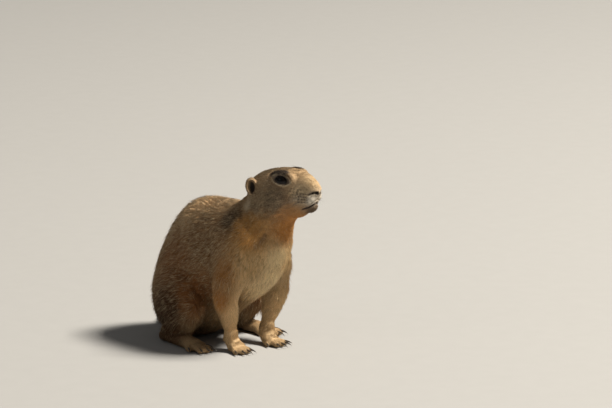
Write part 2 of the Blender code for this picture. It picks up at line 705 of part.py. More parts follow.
# Materials, one to a sub-part, and the two collections
COLOURS = (
    ("eye", (0.012, 0.009, 0.008), 0.06),
    ("claw", (0.035, 0.028, 0.024), 0.35),
    ("ear", (0.42, 0.29, 0.16), 0.85),
    ("head", (0.34, 0.24, 0.14), 0.85),
    ("neck", (0.45, 0.29, 0.13), 0.85),
    ("torso", (0.40, 0.27, 0.14), 0.85),
    ("rump", (0.24, 0.17, 0.10), 0.85),
    ("tail", (0.34, 0.23, 0.12), 0.85),
    ("upper_arm", (0.44, 0.31, 0.16), 0.85),
    ("forearm", (0.56, 0.44, 0.27), 0.85),
    ("forepaw", (0.60, 0.48, 0.31), 0.85),
    ("thigh", (0.27, 0.17, 0.09), 0.85),
    ("hind_foot", (0.52, 0.40, 0.25), 0.85),
)
animal = bpy.data.collections.new("prairie_dog")
cutters = bpy.data.collections.new("cutters")
for collection in (animal, cutters):
    bpy.context.scene.collection.children.link(collection)
for item in list(bpy.context.scene.collection.objects):
    bpy.context.scene.collection.objects.unlink(item)
    item.data.transform(Matrix.Translation((0, SET_BACK, 0)))
    if item.name in nodes:
        animal.objects.link(item)
        colour, roughness = next(row[1:] for row in COLOURS if item.name.startswith(row[0]))
        material = bpy.data.materials.new(item.name + "_surface")
        material.use_nodes = True
        shader = material.node_tree.nodes["Principled BSDF"]
        shader.inputs["Base Color"].default_value = (*colour, 1)
        shader.inputs["Roughness"].default_value = roughness
        item.data.materials.clear()
        item.data.materials.append(material)
    else:
        cutters.objects.link(item)
        item.hide_render = True
        item.display_type = "WIRE"
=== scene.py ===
"""Looks of a life-size prairie dog crouched on its haunches with its head raised."""

import json
import math

import bmesh
import bpy
import numpy as np
from mathutils import Matrix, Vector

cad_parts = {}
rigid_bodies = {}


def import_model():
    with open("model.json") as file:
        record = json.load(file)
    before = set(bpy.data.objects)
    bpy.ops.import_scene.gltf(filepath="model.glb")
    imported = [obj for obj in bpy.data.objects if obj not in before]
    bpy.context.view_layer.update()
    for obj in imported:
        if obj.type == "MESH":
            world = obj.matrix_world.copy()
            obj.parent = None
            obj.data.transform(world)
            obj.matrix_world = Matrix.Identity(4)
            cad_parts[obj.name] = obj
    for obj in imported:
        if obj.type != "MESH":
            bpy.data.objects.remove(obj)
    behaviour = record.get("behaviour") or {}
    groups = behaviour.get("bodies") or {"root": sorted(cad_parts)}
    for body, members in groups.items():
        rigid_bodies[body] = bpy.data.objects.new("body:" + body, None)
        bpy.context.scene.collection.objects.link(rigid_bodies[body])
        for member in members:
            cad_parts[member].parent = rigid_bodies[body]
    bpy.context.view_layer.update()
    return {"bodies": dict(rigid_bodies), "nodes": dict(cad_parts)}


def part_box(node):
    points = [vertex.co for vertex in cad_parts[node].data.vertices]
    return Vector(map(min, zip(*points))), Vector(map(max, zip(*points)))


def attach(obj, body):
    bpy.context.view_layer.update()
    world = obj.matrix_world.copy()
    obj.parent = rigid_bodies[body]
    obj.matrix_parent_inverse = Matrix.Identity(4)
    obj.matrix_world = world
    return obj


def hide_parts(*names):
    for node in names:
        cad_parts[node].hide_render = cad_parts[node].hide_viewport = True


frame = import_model()

# Skin: the whole hide in one piece, from nose to tail and down to the soles. Flesh and eyes of the solids are
# fused, their facets smoothed away, and the surface drawn in by the depth of the coat. The trunk gets larger
# triangles than face and feet, and inside the almond of each eye the skin sinks behind the eyeball.
flesh = [name for name in frame["nodes"] if not name.startswith(("eye", "claw"))]
body = next(iter(frame["bodies"]))
nose = np.array((0.0145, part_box("head")[0][1] + 0.0003, 0.1455))
set_back = np.array((0, nose[1] + 0.1085, 0))
yaw = pitch = math.radians(9)
ahead = np.array((math.sin(yaw) * math.cos(pitch), -math.cos(yaw) * math.cos(pitch), math.sin(pitch)))
aside = np.array((math.cos(yaw), math.sin(yaw), 0))
above = np.cross(aside, -ahead)
eyeball_radius = 0.0056
eyeball_edge = 0.0019  # least height, over the eye's middle, at which skin and lids meet the ball
slant, opening_half_length, opening_half_height = math.radians(20), 0.0066, 0.0035
gap_filling = 0.00022
voxel = 0.00046
skin_triangles = 185000
guard_coat_depth, least_coat_depth = 0.0027, 0.0004


def on_head(behind, to_left, up):
    """A place on the head, by its millimetres behind the nose tip, to its left and above it."""
    return nose + (to_left * aside - behind * ahead + up * above) / 1000


def on_body(x, y, z):
    """A place on the body, by the millimetres used for the solids, before they were centred."""
    return np.array((x, y, z)) / 1000 + set_back


def smooth_step(low, high, values):
    """Rises smoothly from 0 where the values are low to 1 where they are high."""
    share = np.clip((values - low) / (high - low), 0, 1)
    return share * share * (3 - 2 * share)


def fade(low, high, values):
    """Falls smoothly from 1 where the values are low to 0 where they are high."""
    return 1 - smooth_step(low, high, values)


def unit(vectors):
    """Each vector divided by its length."""
    return vectors / np.maximum(np.linalg.norm(vectors, axis=-1, keepdims=True), 1e-12)


def away(places, place):
    """Distance of each place from one place."""
    return np.linalg.norm(places - place, axis=1)


def from_length(places, start, end):
    """Distance of each place from a straight length, and the share of the length at which it is nearest."""
    span = end - start
    share = np.clip((places - start) @ span / max(span @ span, 1e-12), 0, 1)
    return np.linalg.norm(places - start - share[:, None] * span, axis=1), share


def eye_axes(side):
    """An eye's centre, with its outward, forward and upright directions."""
    outward = unit(side * 0.86 * aside + 0.33 * ahead + 0.32 * above)
    upright = unit(above - above @ outward * outward)
    return on_head(29.6, side * 11, 9.4), outward, side * np.cross(outward, upright), upright


def from_eye(places, side):
    """How far out from the middle of an eye each place is, 1 at the almond of its opening, and which way: the
    almond slants down to the front and has its corners drawn out."""
    centre, outward, forward, upright = eye_axes(side)
    offset = places - centre
    across = (offset @ forward * math.cos(slant) - offset @ upright * math.sin(slant)) / opening_half_length
    up = (offset @ forward * math.sin(slant) + offset @ upright * math.cos(slant)) / opening_half_height
    spread = (np.abs(across) ** 1.7 + np.abs(up) ** 1.7) ** (1 / 1.7)
    spread[offset @ outward < 0.0012] = 9
    return spread, offset - (offset @ outward)[:, None] * outward


def swollen_solid(name, amount):
    """Corners and triangles of a solid, with every corner moved out along its normal."""
    solid = bmesh.new()
    solid.from_mesh(frame["nodes"][name].data)
    bmesh.ops.remove_doubles(solid, verts=solid.verts, dist=1e-6)
    joined = bpy.data.meshes.new(name + "_joined")
    solid.to_mesh(joined)
    solid.free()
    outward = np.empty(len(joined.vertices) * 3)
    joined.vertex_normals.foreach_get("vector", outward)
    corners, triangles = mesh_arrays(joined)
    bpy.data.meshes.remove(joined)
    return corners + amount * outward.reshape(-1, 3), triangles


def mesh_object(name, points, faces):
    """An object at the origin whose mesh has these points and faces, all of one size."""
    mesh = bpy.data.meshes.new(name)
    mesh.vertices.add(len(points))
    mesh.vertices.foreach_set("co", np.asarray(points, np.float32).ravel())
    count, size = faces.shape
    mesh.loops.add(count * size)
    mesh.loops.foreach_set("vertex_index", faces.ravel().astype(np.int32))
    mesh.polygons.add(count)
    mesh.polygons.foreach_set("loop_start", np.arange(0, count * size, size, dtype=np.int32))
    mesh.update(calc_edges=True)
    mesh.polygons.foreach_set("use_smooth", np.ones(count, bool))
    made = bpy.data.objects.new(name, mesh)
    bpy.context.scene.collection.objects.link(made)
    return made


def applied(item):
    """Puts an object's modifiers into its mesh."""
    graph = bpy.context.evaluated_depsgraph_get()
    mesh = bpy.data.meshes.new_from_object(item.evaluated_get(graph))
    item.modifiers.clear()
    item.data = mesh
    return mesh


def mesh_arrays(mesh):
    """A mesh's points, and its faces cut into triangles."""
    points = np.empty(len(mesh.vertices) * 3, np.float32)
    mesh.vertices.foreach_get("co", points)
    mesh.calc_loop_triangles()
    triangles = np.empty(len(mesh.loop_triangles) * 3, np.int32)
    mesh.loop_triangles.foreach_get("vertices", triangles)
    return points.reshape(-1, 3).astype(float), triangles.reshape(-1, 3)


def web_of(points, triangles):
    """Every edge of the triangles, once in each direction, and each point's number of neighbours."""
    pairs = np.concatenate((triangles[:, [0, 1]], triangles[:, [1, 2]], triangles[:, [2, 0]]))
    edges = np.unique(np.concatenate((pairs, pairs[:, ::-1])), axis=0)
    return edges, np.maximum(np.bincount(edges[:, 0], minlength=len(points)), 1)


def neighbour_mean(values, web):
    """The mean over each point's neighbours: sums over the edges, divided by their number."""
    (near, far), counts = web[0].T, web[1]
    sums = [np.bincount(near, column[far], len(counts)) / counts for column in np.atleast_2d(values.T)]
    return np.stack(sums, 1).reshape(values.shape)


def faired(points, web, share, rounds):
    """Smooths facets away without shrinking: each round moves points to their neighbours' mean and back."""
    for _ in range(rounds):
        for pull in (0.55, -0.57):
            points = points + (pull * share)[:, None] * (neighbour_mean(points, web) - points)
    return points


def point_normals(points, triangles):
    """The sum of the triangles' area normals at each point, made one long."""
    a, b, c = (points[triangles[:, corner]] for corner in range(3))
    square = np.cross(b - a, c - a)
    total = np.zeros_like(points)
    for corner in range(3):
        for axis in range(3):
            total[:, axis] += np.bincount(triangles[:, corner], square[:, axis], len(points))
    return unit(total)


def near_face(points):
    """1 on the face, 0 past the cheeks: falls off with the distance from the middle of the muzzle."""
    return fade(0.04, 0.052, away(points, on_head(22, 0, 0)))


def near_feet(points):
    """1 on forepaws and hind feet, 0 above them: falls off with the distance from each foot's middle line."""
    nearest = np.full(len(points), np.inf)
    for side in (-1, 1):
        forepaw = (on_body(side * 18, -40, 6), on_body(side * 18, -62, 2), 0.011)
        hind_foot = (on_body(side * 38, 20, 3), on_body(side * 42, -28, 2), 0.01)
        for start, end, radius in (forepaw, hind_foot):
            nearest = np.minimum(nearest, from_length(points, start, end)[0] / radius)
    return fade(1.0, 1.5, nearest)


corners, triangles, start = [], [], 0
for name in [*flesh, "eye_left", "eye_right"]:
    some_corners, some_triangles = swollen_solid(name, gap_filling)
    corners.append(some_corners)
    triangles.append(some_triangles + start)
    start += len(some_corners)
fused = mesh_object("fused", np.concatenate(corners), np.concatenate(triangles))
remesh = fused.modifiers.new("remesh", "REMESH")
remesh.mode = "VOXEL"
remesh.voxel_size = voxel
points, triangles = mesh_arrays(applied(fused))
fine = np.maximum(near_face(points), near_feet(points))
points = faired(points, web_of(points, triangles), np.clip(1 - 0.85 * fine, 0, 1), 16)
fused.data.vertices.foreach_set("co", points.astype(np.float32).ravel())
fused.data.update()
trunk = fused.vertex_groups.new(name="trunk")
trunk.add(np.flatnonzero(away(points, on_head(19, 0, 2)) > 0.027).tolist(), 1.0, "REPLACE")
thin = fused.modifiers.new("thin", "DECIMATE")
thin.vertex_group = "trunk"
thin.ratio = min(1.0, skin_triangles / len(triangles))
points, triangles = mesh_arrays(applied(fused))
bpy.data.objects.remove(fused)

web = web_of(points, triangles)
face, feet = near_face(points), near_feet(points)
toes_share = feet * fade(0.0085, 0.0125, points[:, 2])
from_eyes = np.minimum(*(away(points, eye_axes(side)[0]) for side in (-1, 1)))
eyes = fade(0.0085, 0.0115, from_eyes)
points = faired(points, web, np.clip(1 - face - toes_share + eyes, 0, 1), 70)
normals = point_normals(points, triangles)
from_ears = np.minimum(*(away(points, on_head(57, side * 19.5, 7)) for side in (-1, 1)))
ears = fade(0.0065, 0.0105, from_ears)
coat_depth = guard_coat_depth * (1 - np.maximum.reduce([face, feet, ears])) + least_coat_depth
limbs = fade(0.035, 0.06, points[:, 2])
coat_depth *= 1 - 0.35 * limbs * smooth_step(0.03, 0.045, -(points[:, 1] - set_back[1]))
for _ in range(12):
    coat_depth += 0.5 * (neighbour_mean(coat_depth, web) - coat_depth)
even_normals = normals.copy()
for _ in range(6):
    even_normals = unit(even_normals + neighbour_mean(even_normals, web))
points -= coat_depth[:, None] * even_normals
for side in (-1, 1):
    centre, outward, _, _ = eye_axes(side)
    spread = from_eye(points, side)[0][:, None]
    offset = points - centre
    distance = np.linalg.norm(offset, axis=1, keepdims=True)
    under, over = np.minimum(distance, 0.85 * eyeball_radius), np.maximum(distance, eyeball_radius + 0.00012)
    offset = offset / distance * np.where(spread < 1.0, under, over)
    rise = (offset @ outward)[:, None]
    flat_square = (offset**2).sum(1, keepdims=True) - rise**2
    ball = np.sqrt(np.maximum(eyeball_radius**2 - flat_square, eyeball_edge**2))
    limit = np.where(spread < 9, ball + 0.00015 + 0.0045 * np.maximum(spread - 1, 0), np.inf)
    points = centre + offset + (np.minimum(rise, limit) - rise) * outward
normals = point_normals(points, triangles)

# Mouth and nostrils: folds of the skin itself, with the groove between them. Each is a path laid on the face,
# and the skin sinks towards it by a bell curve of the distance, while lip and nostril wing swell beside it.
mouth_row = [(3.5, 0, -12.4), (4.5, 3.4, -13.4), (6.6, 6, -14.4)]
mouth_row += [(9.5, 8, -15.8), (13.2, 9.4, -16.8)]
nostril_row = [(1.2, 1.8, -3.6), (2.2, 3.8, -2.6), (4.5, 5.6, -3)]
nostril_row += [(7, 7, -4)]
groove_row = [(1, 0, -4.4), (2, 0, -8), (3.5, 0, -12.4)]


def on_skin(path, side):
    """The places of the skin nearest to a path given in millimetres behind, beside and above the nose tip."""
    wanted = np.array([on_head(behind, side * out, up) for behind, out, up in path])
    return points[((points[None] - wanted[:, None]) ** 2).sum(2).argmin(1)]


def from_path(places, path):
    """Distance of each place from a path of straight lengths, and how far along it the place lies, 0 to 1."""
    distance, along = np.full(len(places), np.inf), np.zeros(len(places))
    for number, (start, end) in enumerate(zip(path, path[1:])):
        gap, share = from_length(places, start, end)
        along = np.where(gap < distance, (number + share) / (len(path) - 1), along)
        distance = np.minimum(distance, gap)
    return distance, along


mouth_paths = [on_skin(mouth_row, side) for side in (-1, 1)]
nostril_paths = [on_skin(nostril_row, side) for side in (-1, 1)]
groove_path = on_skin(groove_row, 1)
pressed = np.zeros(len(points))
for path in mouth_paths:
    distance, along = from_path(points, path)
    furrow = 0.00075 * np.exp(-((distance / 0.00055) ** 2))
    swell = 0.0003 * np.exp(-(((distance - 0.0016) / 0.0009) ** 2))
    pressed += (0.35 + 0.65 * np.sin(np.pi * np.clip(along + 0.25, 0, 1))) * (furrow - swell)
for path in nostril_paths:
    distance, along = from_path(points, path)
    furrow = 0.0017 * np.exp(-((distance / 0.00075) ** 2))
    swell = 0.00035 * np.exp(-(((distance - 0.0018) / 0.0007) ** 2))
    pressed += (1 - 0.65 * along) * (furrow - swell)
pressed += 0.0004 * np.exp(-((from_path(points, groove_path)[0] / 0.0005) ** 2))
points -= pressed[:, None] * normals
normals = point_normals(points, triangles)

# The lie of the coat: which way the hairs point at each place of the skin. They run from the nose over the
# head and back to the tail, down the chest and the limbs to the toes, and away from the eyes on all sides.
tail_turn, tail_bend, tail_length = math.radians(18), math.radians(22), 56


def along_tail(share):
    """A place on the tail's middle line: an arc that bends to the animal's left from its root."""
    bend, reach = tail_turn + tail_bend * share, tail_length * share
    return on_body(reach * math.sin(bend), 50 + reach * math.cos(bend), 12.5 - 6 * share)


def paw_middle(side):
    """The middle of a forepaw on the ground: the right one stands a little out and back, as photographed."""
    return on_body(side * 17.2, -43.5, 0) + (0 if side == 1 else np.array((-0.003, 0.0032, 0)))


lines = [
    ("head", 0.013, [on_head(0, 0, 0), on_head(28, 0, 12), on_head(66, 0, 10)]),
    ("neck", 0.02, [on_head(66, 0, 10), on_body(0, -12, 124)]),
    ("back", 0.024, [on_body(0, -12, 124), on_body(0, 35, 108), on_body(0, 52, 85)]),
    ("rump", 0.024, [on_body(0, 52, 85), on_body(0, 60, 55), on_body(0, 54, 20)]),
    ("tail", 0.008, [along_tail(0), along_tail(0.5), along_tail(1)]),
    ("chest", 0.02, [on_head(8, 0, -17), on_head(45, 0, -22), on_body(2, -66, 88)]),
    ("chest", 0.022, [on_body(2, -74, 88), on_body(0, -62, 50), on_body(0, -10, 12)]),
]
for side, label in ((1, "left"), (-1, "right")):
    paw = paw_middle(side) + (0, 0, 0.0047)
    elbow, wrist = on_body(side * 30, -41, 46), paw + (0, 0.004, 0.016)
    lines += [
        ("head", 0.01, [on_head(12, side * 10, -6), on_head(52, side * 20, -10)]),
        (f"flank_{label}", 0.022, [
            on_body(side * 30, -35, 100), on_body(side * 36, 10, 75),
            on_body(side * 34, 40, 45),
        ]),
        ("forelegs", 0.013, [on_body(side * 29, -41, 96), elbow]),
        ("forelegs", 0.009, [elbow, wrist]),
        ("feet", 0.007, [wrist, paw + (0, -0.005, 0.004), paw + (0, -0.018, 0)]),
        (f"haunch_{label}", 0.022, [
            on_body(side * 38, -18, 52), on_body(side * 42, 12, 36),
            on_body(side * 40, 34, 14),
        ]),
        ("feet", 0.01, [
            on_body(side * 37, 27, 6), on_body(side * 39.5, -4, 5),
            on_body(side * 42, -30, 3),
        ]),
    ]


def lie_of_coat(places):
    """At each place, the mean direction of the near lines, weighed by the inverse fourth power of the
    distance in radii of the line, and the number of the nearest line."""
    total = np.zeros_like(places)
    nearest = np.full(len(places), np.inf)
    nearest_number = np.zeros(len(places), int)
    for number, (_, radius, path) in enumerate(lines):
        for start, end in zip(path, path[1:]):
            distance = from_length(places, start, end)[0] / radius
            total += (1 / (distance**4 + 0.002))[:, None] * unit(end - start)
            closer = distance < nearest
            nearest[closer] = distance[closer]
            nearest_number[closer] = number
    return unit(total), nearest_number


lie, nearest_line = lie_of_coat(points)
for side in (-1, 1):
    spread, outwards = from_eye(points, side)
    share = fade(1.0, 2.2, spread)[:, None]
    lie = unit(lie * (1 - share) + unit(outwards) * share)
for _ in range(14):
    lie -= (lie * normals).sum(1, keepdims=True) * normals
    lie = unit(lie + 0.8 * neighbour_mean(lie, web))
wrists = (smooth_step(0.006, 0.011, points[:, 2]) * fade(0.022, 0.03, points[:, 2]))[:, None]
for _ in range(60):
    lie += 0.7 * wrists * (neighbour_mean(lie, web) - lie)
lie -= (lie * normals).sum(1, keepdims=True) * normals
lie = unit(lie)
region = np.array([name for name, _, _ in lines])[nearest_line[triangles[:, 0]]]

# Colours of the coat, which skin and hair share, with painted light and shade among them. The back is
# grizzled olive brown, paler along its top and nape as painted light from above and darker behind as painted
# shade, the flanks tawny, the throat orange buff, the chest and legs cream, the haunches deep brown darkened
# further as painted shade, and the tail's tip pale. Painted shade also darkens the shoulders below the neck,
# the creases between throat and chest, and the chin. The face has a dark patch over each eye, a pale eye ring
# and a light muzzle; nostrils, lip line, ear cups and ear openings are painted dark as the shade in these
# hollows.
patches = [
    (along_tail(0.1), 0.008, (0.34, 0.205, 0.098), 0.6),
    (along_tail(0.55), 0.008, (0.42, 0.285, 0.155), 0.5),
    (along_tail(1), 0.008, (0.72, 0.62, 0.48), 0.1),
]
# Each row: a place and a reach in millimetres, a colour and a share of banded hairs.
for place_of, signs, rows in (
    (on_body, [(1, 1, 1)], (
        # painted light and shade: the top of the back is paler than its own grizzled olive brown, as lit from
        # above, and the back behind it (next row) darker, as shaded
        ((0, 10, 130), 24, (0.86, 0.6, 0.34), 0.8),
        ((0, 52, 95), 26, (0.29, 0.178, 0.09), 0.9),
        ((0, 62, 55), 26, (0.22, 0.13, 0.064), 1),
        ((0, 56, 22), 16, (0.26, 0.15, 0.072), 0.7),
        # painted light: the nape is paler, as lit from above
        ((3, -28, 136), 18, (0.42, 0.28, 0.155), 0.9),
        ((6, -84, 106), 13, (0.52, 0.225, 0.052), 0.15),
        ((0, -82, 82), 15, (0.88, 0.7, 0.41), 0.1),
        ((0, -70, 55), 18, (0.9, 0.71, 0.42), 0.1),
        ((0, -30, 20), 20, (0.5, 0.33, 0.165), 0.1),
    )),
    (on_head, [(1, 1, 1)], (
        ((7, 0, 6), 6, (0.6, 0.43, 0.24), 0.2),
        ((18, 0, 17), 8, (0.52, 0.35, 0.19), 0.4),
        ((32, 0, 21), 9, (0.32, 0.215, 0.122), 0.9),
        ((48, 0, 19), 12, (0.34, 0.235, 0.138), 1),
        # painted shade: the chin under the mouth is darker than its own colour, as shaded
        ((8, 0, -19), 7, (0.13, 0.086, 0.052), 0.1),
        ((32, 0, -24), 12, (0.47, 0.205, 0.052), 0.15),
    )),
    (on_body, [(1, 1, 1), (-1, 1, 1)], (
        ((19.5, -60, 113), 10, (0.56, 0.3, 0.098), 0.3),
        ((20, -66, 104), 10, (0.62, 0.33, 0.105), 0.2),
        ((37, -22, 98), 18, (0.28, 0.152, 0.066), 0.8),
        # painted shade: a dark wedge on each shoulder below the neck, as shaded
        ((23.5, -44, 116), 9, (0.11, 0.068, 0.037), 0.6),
        ((42, 15, 75), 20, (0.28, 0.122, 0.042), 0.65),
        ((38, -14, 50), 13, (0.32, 0.138, 0.046), 0.3),
        # painted shade: the haunch and its lower edge are darkened to near black brown, well past their own
        # brown, as shaded
        ((52, 12, 36), 19, (0.088, 0.039, 0.015), 0.35),
        ((50, 8, 15), 12, (0.14, 0.068, 0.029), 0.3),
        ((24, -70, 80), 12, (0.72, 0.5, 0.25), 0.2),
        ((41, -48, 78), 11, (0.37, 0.175, 0.054), 0.25),
        ((43, -44, 50), 9, (0.44, 0.205, 0.065), 0.15),
        ((26, -56, 40), 10, (0.84, 0.59, 0.31), 0.1),
        ((22, -54, 22), 10, (0.8, 0.57, 0.31), 0.1),
        ((18, -55, 6), 9, (0.55, 0.385, 0.21), 0.15),
        ((40, -16, 7), 12, (0.52, 0.36, 0.195), 0.1),
        # painted shade: three small darker spots along each fold between throat and chest, as the shade in
        # the crease
        ((19.5, -67.5, 97.5), 3.2, (0.3, 0.19, 0.1), 0.3),
        ((16.5, -69.2, 100.5), 3.4, (0.25, 0.16, 0.086), 0.3),
        ((13.5, -71.2, 103.5), 3.2, (0.27, 0.165, 0.086), 0.3),
    )),
    (on_head, [(1, 1, 1), (1, -1, 1)], (
        ((13, 10, -3), 7, (0.5, 0.38, 0.235), 0.2),
        ((34, 20, -5), 10, (0.165, 0.116, 0.072), 1),
        ((50, 22, -6), 9, (0.24, 0.165, 0.098), 0.9),
        ((28, 15, -20), 8, (0.42, 0.215, 0.085), 0.4),
        ((5, 6, -9), 4.5, (0.74, 0.67, 0.56), 0.1),
        ((60, 21, -7), 4.5, (0.66, 0.55, 0.39), 0.2),
    )),
):
    patches += [
        (place_of(*np.array(place) * sign), reach / 1000, colour, banded)
        for sign in signs for place, reach, colour, banded in rows
    ]


def from_mouth(places):
    """Distance from the line of the mouth."""
    return np.minimum(*(from_path(places, path)[0] for path in mouth_paths))


def from_nostril(places):
    """Distance from the nearer nostril, which counts as farther towards its thin end."""
    ways = [from_path(places, path) for path in nostril_paths]
    return np.minimum(*(distance + 0.0011 * along for distance, along in ways))


def in_radii(offset, directions, radii):
    """Length of each offset in radii of an ellipsoid with these directions and half axes."""
    return np.sqrt(sum((offset @ way / radius) ** 2 for way, radius in zip(directions, radii)))


ear_turn = math.radians(32)


def in_ear(places):
    """How deep in the cup of the nearer ear a place is: 1 at its rim, less inside."""
    depths = []
    for side in (-1, 1):
        outward = side * math.cos(ear_turn) * aside + math.sin(ear_turn) * ahead
        offset = places - on_head(57, side * 18, 7)
        offset = offset - 0.0027 * outward - 0.0006 * ahead + 0.0003 * above
        depths.append(in_radii(offset, (outward, np.cross(above, outward), above), (0.0036, 0.0038, 0.0061)))
    return np.minimum(*depths)


def from_slit(places):
    """How far a place is from the slit down the middle of the nearer ear's cup, which is painted dark as
    shade, 1 at its edge.
    """
    offsets = [places - on_head(56.2, side * 20, 6.4) for side in (-1, 1)]
    return np.minimum(*(in_radii(each, (ahead, above, aside), (0.0026, 0.006, 0.006)) for each in offsets))


draw = np.random.default_rng(31)
waves = draw.normal(size=(3, 7, 3))


def drift(places, size):
    """Slow waves over the body, about -1 to 1 in three channels: sums of sines along seven random ways."""
    return np.sin(places @ (waves * 6.3 / size).transpose(0, 2, 1) + np.arange(7)).sum(2).T / 3


whisker_roots = []
for row in range(4):
    for column in range(4):
        place = (8.5 + 2.2 * column, 7.8 + 0.9 * column, -3.5 - 2.2 * row + 0.4 * column)
        whisker_roots.append({side: on_skin([place], side)[0] for side in (-1, 1)})


def colour_and_painted_light(places):
    """Colour, painted light and shade included, and share of banded hairs: the mean of the patches, weighed
    by the inverse fourth power of the distance in reaches, with the marks of the face and the painted shade
    of mouth, nostrils and ears laid over it."""
    total, weights, ticking = np.zeros_like(places), np.zeros(len(places)), np.zeros(len(places))
    for place, reach, colour, banded in patches:
        weight = 1 / ((away(places, place) / reach) ** 4 + 0.05)
        total += weight[:, None] * colour
        ticking += weight * banded
        weights += weight
    colour, ticking = total / weights[:, None], ticking / weights
    for side in (-1, 1):
        spread, _ = from_eye(places, side)
        offset = places - on_head(30, side * 13, 17.2)
        brow = in_radii(offset, (ahead, above, aside), (0.0092, 0.0054, 0.0072))
        spot = away(places, on_head(21.5, side * 12.5, 12)) / 0.0026
        ring = smooth_step(1.12, 1.2, spread) * fade(1.34, 1.48, spread)
        below = np.clip(0.7 - (places - eye_axes(side)[0]) @ above / 0.006, 0.45, 1.0)
        for share, mark in (
            (0.94 * fade(0.8, 1.25, brow), (0.034, 0.025, 0.022)),
            (0.8 * fade(0.5, 1.3, spot), (0.15, 0.08, 0.04)),
            (0.9 * ring * below, (0.66, 0.54, 0.37)),
            (0.8 * fade(1.04, 1.14, spread), (0.075, 0.055, 0.042)),
            (fade(0.94, 1.04, spread), (0.014, 0.01, 0.009)),
        ):
            colour += share[:, None] * (mark - colour)
            ticking *= 1 - share
        cheek = fade(0.009, 0.017, away(places, on_head(38, side * 19, -7)))
        muzzle = fade(0.004, 0.01, away(places, on_head(17, side * 12, -3)))
        mottling = 0.42 * cheek * drift(places, 0.008)[:, 1] + 0.75 * muzzle * drift(places, 0.0032)[:, 0]
        colour *= np.exp(np.clip(mottling, -0.8, 0.5))[:, None]
        for root in whisker_roots:
            share = 0.85 * fade(0.00045, 0.001, away(places, root[side]))
            colour += share[:, None] * ((0.06, 0.043, 0.034) - colour)
    for share, mark in (
        # painted shade: the line of the mouth is painted dark as the shade in its crease
        (fade(0.0005, 0.0011, from_mouth(places)), (0.04, 0.027, 0.022)),
        # painted shade: the nostrils are painted near black, and the dark thins out back along the groove
        # behind each, as the shade of these hollows
        (fade(0.0012, 0.0023, from_nostril(places)), (0.018, 0.013, 0.012)),
        # painted shade: the inside of each ear's cup is darkened, and the slit down its middle painted near
        # black, as the shade in these hollows
        (0.45 * fade(0.9, 1.05, in_ear(places)), (0.11, 0.066, 0.04)),
        (0.97 * fade(0.7, 1.0, from_slit(places)), (0.012, 0.008, 0.006)),
    ):
        colour += share[:, None] * (mark - colour)
        ticking *= 1 - share
    return np.clip(colour, 0.004, 1), ticking


def colour_attribute(mesh, name, colours):
    """Gives a mesh a colour at each point."""
    attribute = mesh.attributes.new(name, "FLOAT_COLOR", "POINT")
    rgba = np.concatenate((colours, np.ones((len(colours), 1))), 1)
    attribute.data.foreach_set("color", rgba.astype(np.float32).ravel())


def float_attribute(mesh, name, values):
    """Gives a mesh a number at each point."""
    mesh.attributes.new(name, "FLOAT", "POINT").data.foreach_set("value", np.asarray(values, np.float32))


def node(tree, kind, inputs=None, **settings):
    """Adds a shader node with its settings. Each input is given as a value or as another node's output."""
    made = tree.nodes.new("ShaderNode" + kind)
    made.location = (200 * len(tree.nodes) - 1800, 0)
    for key, setting in settings.items():
        setattr(made, key, setting)
    for key, given in (inputs or {}).items():
        if isinstance(given, bpy.types.NodeSocket):
            tree.links.new(given, made.inputs[key])
        else:
            made.inputs[key].default_value = given
    return made


def mixed(tree, share, first, second, blend="MIX"):
    """The mix of two colours."""
    inputs = {"Factor": share, "A": first, "B": second}
    return node(tree, "Mix", inputs, data_type="RGBA", blend_type=blend).outputs["Result"]


def reading(tree, name, output="Fac"):
    """A mesh's attribute, as a number or a colour."""
    return node(tree, "Attribute", attribute_name=name).outputs[output]


def plain_material(name, **values):
    """A material with one Principled shader, whose sockets are set by name."""
    material = bpy.data.materials.new(name)
    material.use_nodes = True
    shader = material.node_tree.nodes["Principled BSDF"]
    for key, value in values.items():
        shader.inputs[key.replace("_", " ")].default_value = value
    return material, material.node_tree


def shader_group(name, inputs, outputs):
    """A node group with these sockets, each a name and a kind, and its inputs as they are read inside."""
    group = bpy.data.node_groups.new(name, "ShaderNodeTree")
    for way, sockets in (("INPUT", inputs), ("OUTPUT", outputs)):
        for socket, kind in sockets.items():
            group.interface.new_socket(socket, in_out=way, socket_type="NodeSocket" + kind)
    return group, group.nodes.new("NodeGroupInput").outputs


def finish_group(group, **results):
    """Joins a group's results to its outputs."""
    last = group.nodes.new("NodeGroupOutput")
    for name, result in results.items():
        group.links.new(result, last.inputs[name])


def join_shader(tree, colour, height=None, strength=0.0, depth=0.0):
    """Joins a colour to the shader and, where one is given, a height as a bump of this strength and depth."""
    shader = tree.nodes["Principled BSDF"]
    tree.links.new(colour, shader.inputs["Base Color"])
    if height:
        bump = node(tree, "Bump", {"Strength": strength, "Distance": depth, "Height": height})
        tree.links.new(bump.outputs["Normal"], shader.inputs["Normal"])


# Down, which skin and lids share: short hair under the tufts, drawn as fine mottling and a bump that breaks
# up the shine.
down, inside = shader_group(
    "down", {"Colour": "Color", "Scale": "Float"}, {"Colour": "Color", "Height": "Float"}
)
place = node(down, "TexCoord").outputs["Object"]
fibres = node(down, "TexNoise", {
    "Vector": place, "Scale": inside["Scale"], "Detail": 4.0, "Roughness": 0.7,
}).outputs["Fac"]
mottling = node(down, "MapRange", {
    "Value": fibres, "From Min": 0.3, "From Max": 0.7, "To Min": 0.45, "To Max": 1.15,
}).outputs["Result"]
finish_group(down, Colour=mixed(down, 1.0, inside["Colour"], mottling, "MULTIPLY"), Height=fibres)


def downy(tree, scale, strength, depth):
    """Gives a material its mesh's colours, painted light and shade included, under down with a bump of this
    strength and depth.
    """
    inputs = {"Colour": reading(tree, "colour_and_painted_light", "Color"), "Scale": scale}
    short = node(tree, "Group", inputs, node_tree=down).outputs
    join_shader(tree, short["Colour"], short["Height"], strength, depth)


